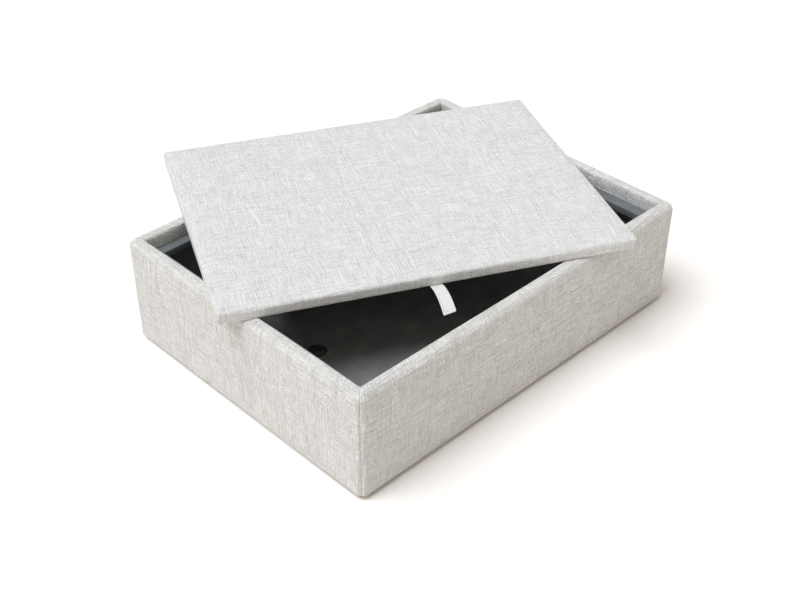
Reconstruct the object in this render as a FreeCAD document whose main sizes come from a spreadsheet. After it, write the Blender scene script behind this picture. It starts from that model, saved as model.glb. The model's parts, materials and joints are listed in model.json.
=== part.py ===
import FreeCAD, Part
import math
import os
import Sketcher
from FreeCAD import Placement, Rotation, Vector

# An upholstered storage box with a loose lid, in millimetres.
# The origin is the centre of the floor area, +Z is up, X runs along the long walls.
# Each wall is a plywood board with a foam pad over it and a cloth cover over the pad, drawn over the rim
# and down to a ledge, on which the lid rests when the box is shut. At rest the lid lies askew on the rim.

SIZES = (
    ("length", 890.0, "outer length over the covers"),
    ("width", 678.0, "outer width over the covers"),
    ("height", 241.0, "top of the rim above the floor"),
    ("cloth", 1.5, "thickness of the cover cloth"),
    ("side_pad", 6.0, "foam on the outside of the boards"),
    ("top_pad", 5.0, "foam over the boards' top edges"),
    ("inner_pad", 3.5, "foam behind the inner band of the cover"),
    ("board", 15.0, "thickness of the wall boards"),
    ("corner_radius", 15.0, "outer vertical corners of the cover"),
    ("rim_radius", 13.0, "outer edge of the rim"),
    ("lip_radius", 6.0, "inner edge of the rim"),
    ("nook_radius", 5.0, "inner vertical corners of the cover"),
    ("base_radius", 8.0, "lower outer edge of the cover"),
    ("ledge_depth", 30.0, "ledge below the top of the rim"),
    ("ledge_reach", 24.0, "ledge showing inside the inner band"),
    ("ledge_height", 18.0, "thickness of the ledge rails"),
    ("glide_height", 5.0, "glides and feet below the dust cover"),
    ("dust_cloth", 1.0, "thickness of the dust cover"),
    ("dust_inset", 15.0, "edge of the dust cover from the outer face"),
    ("cleat_height", 23.0, "cleats, cross rails and corner blocks"),
    ("cleat_width", 25.0, "width of the floor cleats"),
    ("block_side", 60.0, "side of the square corner blocks"),
    ("rail_width", 60.0, "width of the cross rails"),
    ("foot_offset", 249.0, "centre feet from the middle of the box"),
    ("base_board", 12.0, "thickness of the base panel"),
    ("floor_felt", 3.0, "thickness of the floor liner"),
    ("wall_felt", 2.0, "thickness of the wall liners"),
    ("glide_radius", 15.0, "corner glides"),
    ("nail_radius", 1.5, "glide nails"),
    ("nail_length", 18.0, "glide nails above the glide"),
    ("foot_radius", 25.0, "centre feet"),
    ("foot_web", 2.0, "plastic left under the bolt"),
    ("bolt_radius", 4.0, "shank of the foot bolts"),
    ("bolt_head_radius", 10.0, "head of the foot bolts"),
    ("bolt_head_height", 4.0, "head of the foot bolts"),
    ("cap_radius", 18.5, "black cap over a bolt head"),
    ("cap_top_radius", 13.0, "flat top of the cap"),
    ("cap_height", 8.0, "cap above the floor liner"),
    ("cap_clearance", 0.4, "cap around the bolt head"),
    ("screw_radius", 2.0, "wood screw shanks"),
    ("screw_head_radius", 4.0, "wood screw heads"),
    ("screw_head_height", 2.4, "wood screw heads"),
    ("frame_screw_length", 42.0, "screws in the board corners"),
    ("panel_screw_length", 30.0, "screws in the base panel"),
    ("panel_screw_pitch", 200.0, "panel screws from one to the next"),
    ("staple_crown", 10.0, "length of a staple's crown"),
    ("staple_wire", 1.0, "width of a staple's wire"),
    ("staple_depth", 0.6, "thickness of a staple's crown"),
    ("staple_pitch", 62.0, "staples from one to the next"),
    ("staple_inset", 6.0, "staples from the edge of the cloth"),
    ("lid_clearance", 3.0, "lid to the inner band, each side"),
    ("lid_height", 23.0, "lid from backing to top"),
    ("lid_board", 9.0, "thickness of the lid board"),
    ("lid_corner_radius", 9.0, "vertical corners of the lid cover"),
    ("lid_top_radius", 6.0, "upper edge of the lid cover"),
    ("lid_foot_radius", 3.0, "lower edge of the lid cover"),
    ("backing", 0.8, "thickness of the lid backing"),
    ("backing_inset", 12.0, "edge of the backing from the lid's edge"),
    ("hem", 35.0, "cover turned in under the lid"),
    ("lid_x", 22.0, "middle of the lid from the middle of the box"),
    ("lid_y", 77.5, "middle of the lid from the middle of the box"),
    ("lid_turn", 26.8, "lid turned clockwise from square, in degrees"),
    ("lid_gap", 0.2, "lid above the rim"),
    ("tab_width", 25.0, "width of the pull tab"),
    ("tab_thickness", 1.6, "pull tab, two layers sewn together"),
    ("tab_reach", 80.0, "pull tab in front of the lid"),
    ("tab_bend_radius", 95.0, "droop of the pull tab"),
    ("tab_rise", 16.0, "slope at the root of the pull tab, in degrees"),
    ("tab_root_gap", 1.0, "hinge line in front of the lid"),
    ("tab_start_gap", 0.6, "pull tab in front of its hinge line"),
)

# What follows from the driving sizes.
WALL = "(2 * size.cloth + size.side_pad + size.board + size.inner_pad)"
OPENING_LENGTH = f"(size.length - 2 * {WALL})"
OPENING_WIDTH = f"(size.width - 2 * {WALL})"
OUTER_SKIN = "(size.cloth + size.side_pad)"
BOARD_LENGTH = f"(size.length - 2 * {OUTER_SKIN})"
BOARD_WIDTH = f"(size.width - 2 * {OUTER_SKIN})"
INNER_LENGTH = f"({BOARD_LENGTH} - 2 * size.board)"
INNER_WIDTH = f"({BOARD_WIDTH} - 2 * size.board)"
COVER_FOOT = "(size.glide_height + size.dust_cloth)"
BOARD_FOOT = f"({COVER_FOOT} + size.cloth)"
BOARD_TOP = "(size.height - size.cloth - size.top_pad)"
BOARD_HEIGHT = f"({BOARD_TOP} - {BOARD_FOOT})"
LEDGE_TOP = "(size.height - size.ledge_depth)"
LEDGE_FOOT = f"({LEDGE_TOP} - size.ledge_height)"
LEDGE_WIDTH = "(size.ledge_reach + size.inner_pad + size.cloth)"
PANEL_FOOT = f"({COVER_FOOT} + size.cleat_height)"
FELT_FOOT = f"({PANEL_FOOT} + size.base_board)"
FLOOR = f"({FELT_FOOT} + size.floor_felt)"
DUST_LENGTH = "(size.length - 2 * size.dust_inset)"
DUST_WIDTH = "(size.width - 2 * size.dust_inset)"
LID_LENGTH = f"({OPENING_LENGTH} - 2 * size.lid_clearance)"
LID_WIDTH = f"({OPENING_WIDTH} - 2 * size.lid_clearance)"
LID_CORE_FOOT = "(size.backing + size.cloth)"
BACKING_LENGTH = f"({LID_LENGTH} - 2 * size.backing_inset)"
BACKING_WIDTH = f"({LID_WIDTH} - 2 * size.backing_inset)"

OVERRUN = 5.0      # how far a cutting block passes the faces it cuts
ROOM = 0.01        # slack when edges are told apart by their place
SIDES = (("front", 0.0), ("right", 90.0), ("back", 180.0), ("left", 270.0))
SCREW_SHARES = (0.15, 0.5, 0.85)               # heights of the frame screws, as shares of a board's height
STAPLE_SLANTS = (-8.0, 5.0, 0.0, 11.0, -4.0)   # degrees off square, as a staple gun leaves them

doc = FreeCAD.newDocument("storage_box")
sheet = doc.addObject("Spreadsheet::Sheet", "size")
for row, (word, number, meaning) in enumerate(SIZES, start=1):
    sheet.set(f"A{row}", word)
    sheet.set(f"B{row}", str(number))
    sheet.setAlias(f"B{row}", word)
    sheet.set(f"C{row}", meaning)
doc.recompute()

nodes = {}


def value(expression):
    """The number that an expression over the size sheet comes to."""
    answer = sheet.evalExpression(expression)
    return float(getattr(answer, "Value", answer))


def node(piece, label):
    """Name a finished sub-part, which is then written to its own file."""
    piece.Label = label
    nodes[label] = piece
    return piece


def bind(piece, **expressions):
    """Tie properties of an object to the size sheet."""
    for name, expression in expressions.items():
        piece.setExpression(name, expression)


def place(piece, x="0", y="0", z="0"):
    """Tie an object's position to the size sheet."""
    for axis, expression in (("x", x), ("y", y), ("z", z)):
        piece.setExpression(f"Placement.Base.{axis}", expression)


def block(name, length, width, height, x="0", y="0", z="0"):
    """A square-edged block centred on x and y, with its underside at z."""
    piece = doc.addObject("Part::Box", name)
    bind(piece, Length=length, Width=width, Height=height)
    place(piece, f"{x} - {length} / 2", f"{y} - {width} / 2", z)
    return piece


def rod(name, radius, height, x="0", y="0", z="0"):
    """An upright cylinder on x and y, with its foot at z."""
    piece = doc.addObject("Part::Cylinder", name)
    bind(piece, Radius=radius, Height=height)
    place(piece, x, y, z)
    return piece


def cut(name, base, *tools):
    """The base without each of the tools."""
    result = base
    for index, tool in enumerate(tools):
        step = doc.addObject("Part::Cut", f"{name}_cut{index}")
        step.Base = result
        step.Tool = tool
        result = step
    return result


def common(name, base, tool):
    """The space that two objects share."""
    piece = doc.addObject("Part::Common", f"{name}_common")
    piece.Base = base
    piece.Tool = tool
    return piece


def fuse(name, *pieces):
    """Several touching solids as one."""
    piece = doc.addObject("Part::MultiFuse", f"{name}_fuse")
    piece.Shapes = list(pieces)
    return piece


def xy_plane(body):
    """The ground plane of a body."""
    return [part for part in body.Origin.OriginFeatures if part.Role == "XY_Plane"][0]


def xz_plane(body):
    """The upright plane of a body that faces the front."""
    return [part for part in body.Origin.OriginFeatures if part.Role == "XZ_Plane"][0]


def add_rectangle(sketch, length, width, prefix):
    """A centred rectangle in a sketch, with its two sizes tied to the sheet."""
    half_length = value(length) / 2
    half_width = value(width) / 2
    ring = [(-half_length, -half_width), (half_length, -half_width)]
    ring += [(half_length, half_width), (-half_length, half_width)]
    corners = [Vector(x, y, 0) for x, y in ring]
    first = sketch.GeometryCount
    for index in range(4):
        sketch.addGeometry(Part.LineSegment(corners[index], corners[(index + 1) % 4]), False)
    for index in range(4):
        following = (index + 1) % 4
        sketch.addConstraint(Sketcher.Constraint("Coincident", first + index, 2, first + following, 1))
    for index, lie in enumerate(("Horizontal", "Vertical", "Horizontal", "Vertical")):
        sketch.addConstraint(Sketcher.Constraint(lie, first + index))
    sketch.addConstraint(Sketcher.Constraint("Symmetric", first, 1, first + 1, 2, -1, 1))
    for kind, line, size, word in (("DistanceX", first, length, "length"), ("DistanceY", first + 1, width, "width")):
        number = sketch.addConstraint(Sketcher.Constraint(kind, line, 1, line, 2, value(size)))
        sketch.renameConstraint(number, prefix + word)
        sketch.setExpression(f"Constraints.{prefix}{word}", size)


def padded_body(name, rectangles, height, z):
    """A body padded up from one or more nested centred rectangles."""
    body = doc.addObject("PartDesign::Body", name)
    sketch = body.newObject("Sketcher::SketchObject", f"{name}_outline")
    sketch.AttachmentSupport = (xy_plane(body), [""])
    sketch.MapMode = "FlatFace"
    sketch.setExpression("AttachmentOffset.Base.z", z)
    for number, (length, width) in enumerate(rectangles):
        add_rectangle(sketch, length, width, ("outer_", "inner_")[number])
    pad = body.newObject("PartDesign::Pad", f"{name}_pad")
    pad.Profile = sketch
    pad.setExpression("Length", height)
    doc.recompute()
    return body


def points_along(edge):
    """A few points along an edge."""
    return [edge.valueAt(edge.FirstParameter + share * (edge.LastParameter - edge.FirstParameter))
            for share in (0.0, 0.5, 1.0)]


def round_edges(body, name, radius, test):
    """Round the edges of a body whose points all pass a test."""
    base = body.Tip
    edges = base.Shape.Edges
    picked = [f"Edge{number}" for number, edge in enumerate(edges, start=1)
              if all(test(point) for point in points_along(edge))]
    fillet = body.newObject("PartDesign::Fillet", f"{body.Name}_{name}")
    fillet.Base = (base, picked)
    fillet.setExpression("Radius", radius)
    doc.recompute()


def rim_ring(name, inset):
    """The wall ring of the box, rounded as the cover is, and drawn in by an inset on every face."""
    length = f"(size.length - 2 * {inset})"
    width = f"(size.width - 2 * {inset})"
    hole_length = f"({OPENING_LENGTH} + 2 * {inset})"
    hole_width = f"({OPENING_WIDTH} + 2 * {inset})"
    foot = f"({COVER_FOOT} + {inset})"
    height = f"(size.height - {inset} - {foot})"
    body = padded_body(name, ((length, width), (hole_length, hole_width)), height, foot)
    half_x = value(hole_length) / 2 + ROOM
    half_y = value(hole_width) / 2 + ROOM
    low = value(foot)
    high = low + value(height)
    edge_x = value(length) / 2 - ROOM
    edge_y = value(width) / 2 - ROOM

    def outside(point):
        return abs(point.x) > half_x or abs(point.y) > half_y

    round_edges(body, "corners", f"size.corner_radius - {inset}",
                lambda point: abs(point.x) > edge_x and abs(point.y) > edge_y)
    round_edges(body, "nooks", f"size.nook_radius + {inset}",
                lambda point: half_x - 2 * ROOM < abs(point.x) < half_x and half_y - 2 * ROOM < abs(point.y) < half_y)
    round_edges(body, "rim", f"size.rim_radius - {inset}",
                lambda point: abs(point.z - high) < ROOM and outside(point))
    round_edges(body, "lip", f"size.lip_radius - {inset}",
                lambda point: abs(point.z - high) < ROOM and not outside(point))
    round_edges(body, "foot", f"size.base_radius - {inset}",
                lambda point: abs(point.z - low) < ROOM and outside(point))
    return body


def mitre_wedge(side, turn):
    """A block that takes one wall out of the ring, with its ends cut at 45 degrees through the corners."""
    along, across = ("size.length", "size.width") if side in ("front", "back") else ("size.width", "size.length")
    wedge = doc.addObject("Part::Wedge", f"mitre_{side}")
    depth = f"({WALL} + {OVERRUN})"
    bind(wedge, Ymin=f"-{across} / 2 - {OVERRUN}", Ymax=f"-{across} / 2 + {depth}")
    bind(wedge, Xmin=f"-{along} / 2 - {OVERRUN}", Xmax=f"{along} / 2 + {OVERRUN}")
    bind(wedge, X2min=f"-{along} / 2 + {depth}", X2max=f"{along} / 2 - {depth}")
    bind(wedge, Zmin="0", Z2min="0", Zmax=f"size.height + {OVERRUN}", Z2max=f"size.height + {OVERRUN}")
    wedge.Placement = Placement(Vector(0, 0, 0), Rotation(Vector(0, 0, 1), turn))
    return wedge


def box_pose(piece):
    """Leave a finished piece of the box where it was drawn."""
    piece.Placement = Placement()
    return piece


def lid_pose(piece):
    """Lay a piece drawn about the lid's own middle onto the rim, askew."""
    piece.Placement = Placement(Vector(0, 0, 0), Rotation(Vector(0, 0, -1), value("size.lid_turn")))
    place(piece, "size.lid_x", "size.lid_y", "size.height + size.lid_gap")
    return piece


def solids(name, shapes):
    """A group of like fasteners, each its own solid."""
    group = doc.addObject("Part::Feature", name)
    group.Shape = Part.makeCompound(shapes)
    return group


def screw(length, tip, direction):
    """A countersunk wood screw whose head lies flush at tip, driven along direction."""
    radius = value("size.screw_radius")
    head_height = value("size.screw_head_height")
    head = Part.makeCone(value("size.screw_head_radius"), radius, head_height, tip, direction)
    shank_start = tip + direction * head_height
    shank = Part.makeCylinder(radius, length - head_height, shank_start, direction)
    return head.fuse(shank).removeSplitter()


def spread(span, pitch):
    """Places evenly spread over a span, about a pitch apart, the first and last at its ends."""
    count = max(2, round(span / pitch) + 1)
    return [-span / 2 + span * number / (count - 1) for number in range(count)]


def staple_crowns(length, width, z):
    """Staples flush in a rectangle of cloth, all round near its edge, each at a slight slant."""
    crown = value("size.staple_crown")
    wire = value("size.staple_wire")
    depth = value("size.staple_depth")
    pitch = value("size.staple_pitch")
    inset = value("size.staple_inset")
    far_x = length / 2 - inset
    far_y = width / 2 - inset
    spots = [(x, side * far_y, 0.0) for side in (-1, 1) for x in spread(2 * far_x - pitch, pitch)]
    spots += [(side * far_x, y, 90.0) for side in (-1, 1) for y in spread(2 * far_y - pitch, pitch)]
    crowns = []
    for number, (x, y, turn) in enumerate(spots):
        shape = Part.makeBox(crown, wire, depth, Vector(-crown / 2, -wire / 2, 0))
        slant = turn + STAPLE_SLANTS[number % len(STAPLE_SLANTS)]
        shape.Placement = Placement(Vector(x, y, z), Rotation(Vector(0, 0, 1), slant))
        crowns.append(shape)
    return crowns


# Screws, staples and bolts come first, because the boards and cloths are cut to take them.
def frame_screw_group():
    """Screws through the ends of the long boards into the short ones."""
    length = value("size.frame_screw_length")
    half_length = value(BOARD_LENGTH) / 2 - value("size.board") / 2
    half_width = value(BOARD_WIDTH) / 2
    low = value(BOARD_FOOT)
    high = value(BOARD_TOP)
    shapes = []
    for x in (-half_length, half_length):
        for side in (-1, 1):
            for share in SCREW_SHARES:
                tip = Vector(x, side * half_width, low + share * (high - low))
                shapes.append(screw(length, tip, Vector(0, -side, 0)))
    return solids("frame_screws", shapes)


def panel_screw_group():
    """Screws down through the base panel into the floor cleats."""
    length = value("size.panel_screw_length")
    top = value(FELT_FOOT)
    pitch = value("size.panel_screw_pitch")
    keep_off = 2 * value("size.block_side")
    long_span = value(INNER_LENGTH) - 2 * keep_off
    short_span = value(INNER_WIDTH) - 2 * keep_off
    far_x = value(INNER_LENGTH) / 2 - value("size.cleat_width") / 2
    far_y = value(INNER_WIDTH) / 2 - value("size.cleat_width") / 2
    spots = [(x, side * far_y) for side in (-1, 1) for x in spread(long_span, pitch)]
    spots += [(side * far_x, y) for side in (-1, 1) for y in spread(short_span, pitch)]
    shapes = [screw(length, Vector(x, y, top), Vector(0, 0, -1)) for x, y in spots]
    return solids("panel_screws", shapes)


def foot_bolt_group():
    """The two bolts that hold the centre feet, with domed heads on the floor liner."""
    parts = []
    for sign in ("-", ""):
        x = f"{sign}size.foot_offset"
        shank = rod("bolt_shank", "size.bolt_radius", f"{FLOOR} - size.foot_web", x=x, z="size.foot_web")
        head = rod("bolt_head", "size.bolt_head_radius", "size.bolt_head_height", x=x, z=FLOOR)
        parts.append(fuse("bolt", shank, head))
    group = doc.addObject("Part::Compound", "foot_bolts")
    group.Links = parts
    return group


frame_screws = node(frame_screw_group(), "frame_screws")
panel_screws = node(panel_screw_group(), "panel_screws")
foot_bolts = node(foot_bolt_group(), "foot_bolts")
dust_staples = node(solids("dust_staples", staple_crowns(value(DUST_LENGTH), value(DUST_WIDTH),
                                                         value("size.glide_height"))), "dust_cover_staples")
doc.recompute()

# Wall boards: the long ones run past the ends of the short ones.
for side, sign in (("front", "-"), ("back", "")):
    y = f"{sign}({BOARD_WIDTH} - size.board) / 2"
    plain = block(f"{side}_board_blank", BOARD_LENGTH, "size.board", BOARD_HEIGHT, y=y, z=BOARD_FOOT)
    node(box_pose(cut(f"{side}_board", plain, frame_screws)), f"{side}_board")
for side, sign in (("left", "-"), ("right", "")):
    x = f"{sign}({BOARD_LENGTH} - size.board) / 2"
    plain = block(f"{side}_board_blank", "size.board", INNER_WIDTH, BOARD_HEIGHT, x=x, z=BOARD_FOOT)
    node(box_pose(cut(f"{side}_board", plain, frame_screws)), f"{side}_board")

# Corner blocks with the glides nailed up into them.
glide_nodes = []
for side_y, sign_y in (("front", "-"), ("back", "")):
    for side_x, sign_x in (("left", "-"), ("right", "")):
        corner = f"{side_y}_{side_x}"
        x = f"{sign_x}({INNER_LENGTH} - size.block_side) / 2"
        y = f"{sign_y}({INNER_WIDTH} - size.block_side) / 2"
        disc = rod(f"glide_disc_{corner}", "size.glide_radius", "size.glide_height", x, y)
        nail = rod(f"glide_nail_{corner}", "size.nail_radius", "size.nail_length", x, y, "size.glide_height")
        glide = node(box_pose(fuse(f"glide_{corner}", disc, nail)), f"glide_{corner}")
        glide_nodes.append(glide)
        plain = block(f"block_{corner}", "size.block_side", "size.block_side", "size.cleat_height",
                      x, y, COVER_FOOT)
        node(box_pose(cut(f"corner_block_{corner}", plain, glide)), f"corner_block_{corner}")

# Floor cleats between the corner blocks, and cross rails under the centre feet.
for side, sign in (("front", "-"), ("back", "")):
    y = f"{sign}({INNER_WIDTH} - size.cleat_width) / 2"
    plain = block(f"cleat_{side}_blank", f"({INNER_LENGTH} - 2 * size.block_side)", "size.cleat_width",
                  "size.cleat_height", y=y, z=COVER_FOOT)
    node(box_pose(cut(f"floor_cleat_{side}", plain, panel_screws)), f"floor_cleat_{side}")
for side, sign in (("left", "-"), ("right", "")):
    x = f"{sign}({INNER_LENGTH} - size.cleat_width) / 2"
    plain = block(f"cleat_{side}_blank", "size.cleat_width", f"({INNER_WIDTH} - 2 * size.block_side)",
                  "size.cleat_height", x=x, z=COVER_FOOT)
    node(box_pose(cut(f"floor_cleat_{side}", plain, panel_screws)), f"floor_cleat_{side}")
for side, sign in (("left", "-"), ("right", "")):
    x = f"{sign}size.foot_offset"
    plain = block(f"rail_{side}_blank", "size.rail_width", f"({INNER_WIDTH} - 2 * size.cleat_width)",
                  "size.cleat_height", x=x, z=COVER_FOOT)
    node(box_pose(cut(f"cross_rail_{side}", plain, foot_bolts)), f"cross_rail_{side}")

# Floor: base panel, felt liner, and the dust cover underneath.
panel = block("base_panel_blank", INNER_LENGTH, INNER_WIDTH, "size.base_board", z=PANEL_FOOT)
node(box_pose(cut("base_panel", panel, panel_screws, foot_bolts)), "base_panel")
felt = block("floor_liner_blank", INNER_LENGTH, INNER_WIDTH, "size.floor_felt", z=FELT_FOOT)
node(box_pose(cut("floor_liner", felt, foot_bolts)), "floor_liner")
dust = block("dust_cover_blank", DUST_LENGTH, DUST_WIDTH, "size.dust_cloth", z="size.glide_height")
node(box_pose(cut("dust_cover", dust, dust_staples, foot_bolts, *glide_nodes)), "dust_cover")

# Centre feet under the cross rails, and a black cap over each bolt head inside.
for side, sign in (("left", "-"), ("right", "")):
    x = f"{sign}size.foot_offset"
    plain = rod(f"foot_{side}_blank", "size.foot_radius", "size.glide_height", x)
    node(box_pose(cut(f"centre_foot_{side}", plain, foot_bolts)), f"centre_foot_{side}")
    dome = doc.addObject("Part::Cone", f"cap_{side}_blank")
    bind(dome, Radius1="size.cap_radius", Radius2="size.cap_top_radius", Height="size.cap_height")
    place(dome, x, "0", FLOOR)
    hollow = rod(f"cap_{side}_hollow", "size.bolt_head_radius + size.cap_clearance",
                 "size.bolt_head_height + size.cap_clearance", x, "0", FLOOR)
    node(box_pose(cut(f"bolt_cap_{side}", dome, hollow)), f"bolt_cap_{side}")

# Ledge rails that carry the lid, and felt on the walls below them.
for side, sign in (("front", "-"), ("back", "")):
    y = f"{sign}({INNER_WIDTH} - {LEDGE_WIDTH}) / 2"
    node(block(f"ledge_{side}", INNER_LENGTH, LEDGE_WIDTH, "size.ledge_height", y=y, z=LEDGE_FOOT),
         f"ledge_{side}")
    y = f"{sign}({INNER_WIDTH} - size.wall_felt) / 2"
    node(block(f"wall_liner_{side}", INNER_LENGTH, "size.wall_felt", f"({LEDGE_FOOT} - {FLOOR})", y=y, z=FLOOR),
         f"wall_liner_{side}")
for side, sign in (("left", "-"), ("right", "")):
    x = f"{sign}({INNER_LENGTH} - {LEDGE_WIDTH}) / 2"
    node(block(f"ledge_{side}", LEDGE_WIDTH, f"({INNER_WIDTH} - 2 * {LEDGE_WIDTH})", "size.ledge_height",
               x=x, z=LEDGE_FOOT), f"ledge_{side}")
    x = f"{sign}({INNER_LENGTH} - size.wall_felt) / 2"
    node(block(f"wall_liner_{side}", "size.wall_felt", f"({INNER_WIDTH} - 2 * size.wall_felt)",
               f"({LEDGE_FOOT} - {FLOOR})", x=x, z=FLOOR), f"wall_liner_{side}")

# Covers and pads: rings drawn round the whole box, cut into four walls along the corner mitres.
cover_ring = rim_ring("cover_ring", "0")
pad_ring = rim_ring("pad_ring", "size.cloth")
board_block = block("board_block", BOARD_LENGTH, BOARD_WIDTH, BOARD_HEIGHT, z=BOARD_FOOT)
board_hole = block("board_hole", INNER_LENGTH, INNER_WIDTH, "size.height", z="0")
board_ring = cut("board_ring", board_block, board_hole)
below_ledge = block("below_ledge", INNER_LENGTH, INNER_WIDTH, LEDGE_TOP, z="0")
cover_skin = cut("cover_skin", cover_ring, pad_ring, below_ledge)
pad_skin = cut("pad_skin", pad_ring, board_ring, below_ledge)
for side, turn in SIDES:
    wedge = mitre_wedge(side, turn)
    node(box_pose(common(f"cover_{side}", cover_skin, wedge)), f"cover_{side}")
    node(box_pose(common(f"pad_{side}", pad_skin, wedge)), f"pad_{side}")


def lid_blank(name, inset):
    """The lid's outer form, drawn in by an inset on every face."""
    length = f"({LID_LENGTH} - 2 * {inset})"
    width = f"({LID_WIDTH} - 2 * {inset})"
    foot = f"(size.backing + {inset})"
    height = f"(size.lid_height - {inset} - {foot})"
    body = padded_body(name, ((length, width),), height, foot)
    low = value(foot)
    high = low + value(height)
    edge_x = value(length) / 2 - ROOM
    edge_y = value(width) / 2 - ROOM
    round_edges(body, "corners", f"size.lid_corner_radius - {inset}",
                lambda point: abs(point.x) > edge_x and abs(point.y) > edge_y)
    round_edges(body, "top", f"size.lid_top_radius - {inset}", lambda point: abs(point.z - high) < ROOM)
    round_edges(body, "foot", f"size.lid_foot_radius - {inset}", lambda point: abs(point.z - low) < ROOM)
    return body


# Lid: a board and a foam pad in one sewn cover, which is turned in under the board.
lid_outer = lid_blank("lid_outer", "0")
lid_core = lid_blank("lid_core", "size.cloth")
window = block("lid_window", f"({LID_LENGTH} - 2 * size.hem)", f"({LID_WIDTH} - 2 * size.hem)",
               LID_CORE_FOOT, z="0")
board_slab = block("lid_board_slab", LID_LENGTH, LID_WIDTH, f"({LID_CORE_FOOT} + size.lid_board)", z="0")
node(lid_pose(cut("lid_cover", lid_outer, lid_core, window)), "lid_cover")
node(lid_pose(common("lid_board", lid_core, board_slab)), "lid_board")
node(lid_pose(cut("lid_foam", lid_core, board_slab)), "lid_foam")

# Backing cloth stapled over the turned-in edge, and the sewn-down end of the pull tab.
backing_shapes = staple_crowns(value(BACKING_LENGTH), value(BACKING_WIDTH), 0.0)
lid_staples = solids("lid_staples", backing_shapes)
backing = block("backing_blank", BACKING_LENGTH, BACKING_WIDTH, "size.backing")
node(lid_pose(cut("lid_backing", backing, lid_staples)), "lid_backing")
lid_staple_group = doc.addObject("Part::Compound", "lid_staple_group")
lid_staple_group.Links = [lid_staples]
node(lid_pose(lid_staple_group), "lid_staples")
anchor = padded_body("tab_anchor", (("size.tab_width", "size.backing_inset"),), "size.backing", "0")
anchor_sketch = anchor.Group[0]
anchor_sketch.setExpression("AttachmentOffset.Base.y", f"-({LID_WIDTH} - size.backing_inset) / 2")
node(lid_pose(anchor), "tab_anchor")


def pull_tab_body():
    """The pull tab: a strip that leaves the lid's lower edge and droops along one arc."""
    reach = value("size.tab_reach")
    thickness = value("size.tab_thickness")
    bend = value("size.tab_bend_radius")
    rise = math.radians(value("size.tab_rise"))
    root = Vector(value("size.tab_start_gap"), value("size.backing"), 0)
    centre = root + Vector(math.sin(rise), -math.cos(rise), 0) * bend
    middle = math.pi / 2 + rise
    sweep = reach / bend
    body = doc.addObject("PartDesign::Body", "pull_tab")
    sketch = body.newObject("Sketcher::SketchObject", "pull_tab_profile")
    sketch.AttachmentSupport = (xz_plane(body), [""])
    sketch.MapMode = "FlatFace"
    arcs = []
    for radius in (bend, bend - thickness):
        circle = Part.Circle(centre, Vector(0, 0, 1), radius)
        arcs.append(Part.ArcOfCircle(circle, middle - sweep, middle))
    upper = sketch.addGeometry(arcs[0], False)
    lower = sketch.addGeometry(arcs[1], False)
    ends = [arc.StartPoint for arc in arcs] + [arc.EndPoint for arc in arcs]
    tip = sketch.addGeometry(Part.LineSegment(ends[0], ends[1]), False)
    back = sketch.addGeometry(Part.LineSegment(ends[2], ends[3]), False)
    joints = ((upper, 1, tip, 1), (lower, 1, tip, 2), (upper, 2, back, 1), (lower, 2, back, 2))
    for first, first_end, second, second_end in joints:
        sketch.addConstraint(Sketcher.Constraint("Coincident", first, first_end, second, second_end))
    sketch.addConstraint(Sketcher.Constraint("Coincident", upper, 3, lower, 3))
    pad = body.newObject("PartDesign::Pad", "pull_tab_pad")
    pad.Profile = sketch
    pad.Midplane = True
    pad.setExpression("Length", "size.tab_width")
    return body


# The tab is drawn reaching along its own +X and is turned to reach out from the lid's long edge.
tab = node(pull_tab_body(), "pull_tab")
turn = Rotation(Vector(0, 0, -1), value("size.lid_turn"))
hinge = turn.multVec(Vector(0, -value(LID_WIDTH) / 2 - value("size.tab_root_gap"), 0))
tab.Placement = Placement(Vector(value("size.lid_x") + hinge.x, value("size.lid_y") + hinge.y,
                                 value("size.height") + value("size.lid_gap")),
                          turn.multiply(Rotation(Vector(0, 0, 1), -90)))
doc.recompute()

# Every object has to have come out whole before anything is written.
for thing in doc.Objects:
    if "Invalid" in thing.State or "Error" in thing.State:
        raise RuntimeError(f"{thing.Name} failed: {thing.State}")
for label, piece in nodes.items():
    if piece.Shape.isNull() or not piece.Shape.isValid() or not piece.Shape.Solids:
        raise RuntimeError(f"{label} has no valid solid")

os.makedirs("parts", exist_ok=True)
for label, piece in nodes.items():
    piece.Shape.exportStep(f"parts/{label}.step")
    print(f"{label}: {len(piece.Shape.Solids)} solid(s), {piece.Shape.Volume / 1000:.1f} cm3")
print(f"{len(nodes)} nodes; tab hinge line at {tab.Placement.Base}")
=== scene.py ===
"""Finished looks of an upholstered storage box with a loose padded lid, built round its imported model."""

import json
import math

import bpy
from bpy.props import FloatProperty, FloatVectorProperty, PointerProperty, StringProperty
from mathutils import Matrix, Vector, noise


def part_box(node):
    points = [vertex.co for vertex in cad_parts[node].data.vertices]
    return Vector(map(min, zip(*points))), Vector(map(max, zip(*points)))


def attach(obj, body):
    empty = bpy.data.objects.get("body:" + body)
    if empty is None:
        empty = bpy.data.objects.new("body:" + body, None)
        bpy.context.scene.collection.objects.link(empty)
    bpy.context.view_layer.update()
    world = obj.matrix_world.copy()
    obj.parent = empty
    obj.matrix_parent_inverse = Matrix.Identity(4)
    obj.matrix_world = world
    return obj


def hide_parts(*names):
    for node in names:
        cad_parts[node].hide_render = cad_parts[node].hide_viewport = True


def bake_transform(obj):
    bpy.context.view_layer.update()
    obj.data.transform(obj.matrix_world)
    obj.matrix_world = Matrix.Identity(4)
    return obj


bl_info = {
    "name": "Upholstered Storage Box",
    "version": (1, 0, 0),
    "blender": (4, 5, 0),
    "location": "View3D > Sidebar > Storage Box",
    "description": "Builds the covers, lid, linings and fittings of a storage box",
    "category": "Add Mesh",
}

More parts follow.
